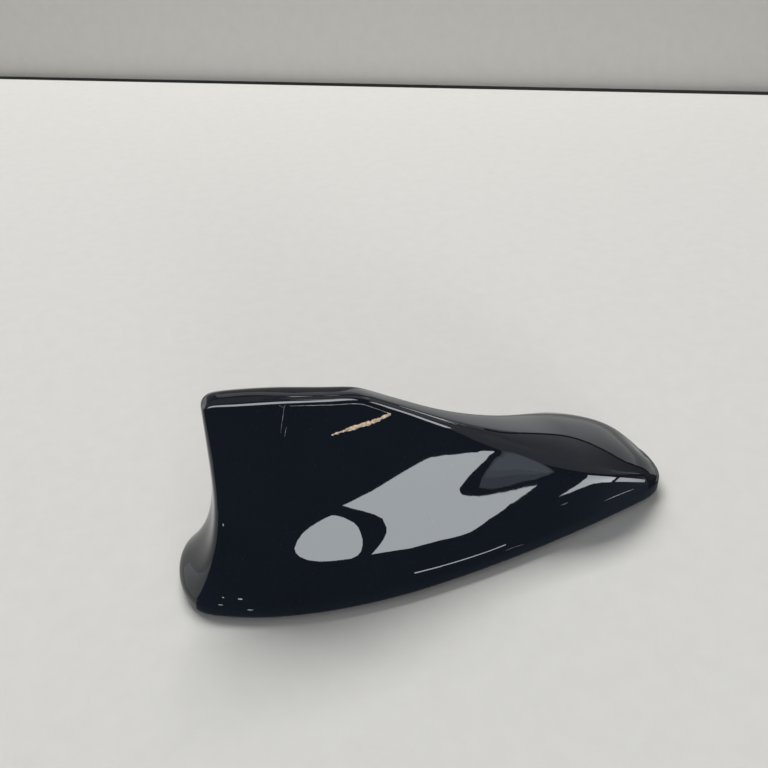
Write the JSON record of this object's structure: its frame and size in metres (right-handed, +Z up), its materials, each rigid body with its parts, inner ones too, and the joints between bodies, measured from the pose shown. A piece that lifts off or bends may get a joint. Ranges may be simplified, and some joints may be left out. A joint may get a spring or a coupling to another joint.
{
  "type": "shark fin antenna",
  "caption": "Fin-shaped vehicle roof antenna: painted cover over a cast base with board, radiators, sockets and roof gasket.",
  "frame": {"origin": "on the roof skin (underside of the gasket), under the middle of the overall box", "axes": "+X along the length towards the low nose, +Y to the left, +Z up away from the roof"},
  "size_m": [0.16, 0.0528, 0.0678],
  "materials": {
    "cover_paint": "gloss clear-coated blue-black metallic paint over moulded plastic",
    "cast_base": "as cast",
    "gasket_rubber": "matt",
    "seal_rubber": "matt",
    "board": "solder-masked glass-fibre laminate",
    "insert_steel": "zinc plated",
    "can_tin": "tin plated",
    "blade_tin": "tin plated sheet",
    "spring_bronze": "spring bronze",
    "ceramic": "fired ceramic",
    "adhesive_pad": "foam tape",
    "contact_brass": "gold flashed",
    "bobbin_plastic": "moulded",
    "copper_wire": "enamelled copper",
    "carrier_plastic": "moulded",
    "hat_steel": "tin plated sheet",
    "screw_steel": "zinc plated",
    "radio_plastic": "moulded",
    "data_plastic": "moulded",
    "insulator_plastic": "moulded"
  },
  "bodies": {
    "root": {"cover": "cover_paint", "base_plate": "cast_base", "roof_gasket": "gasket_rubber", "cover_seal": "seal_rubber", "main_board": "board", "threaded_insert": "insert_steel", "screening_can": "can_tin", "front_telephone_blade": "blade_tin", "rear_telephone_blade": "blade_tin", "contact_spring": "spring_bronze", "patch_tile": "ceramic", "patch_pad": "adhesive_pad", "patch_feed_pin": "contact_brass", "coil_bobbin": "bobbin_plastic", "loading_coil": "copper_wire", "element_carrier": "carrier_plastic", "radiator_hat": "hat_steel", "cover_screws": "screw_steel", "board_screws": "screw_steel", "radio_socket_shroud": "radio_plastic", "radio_socket_shield": "contact_brass", "radio_socket_insulator": "insulator_plastic", "radio_socket_pin": "contact_brass", "data_socket_shroud": "data_plastic", "data_socket_shield": "contact_brass", "data_socket_insulator": "insulator_plastic", "data_socket_pin": "contact_brass"}
  },
  "joints": []
}
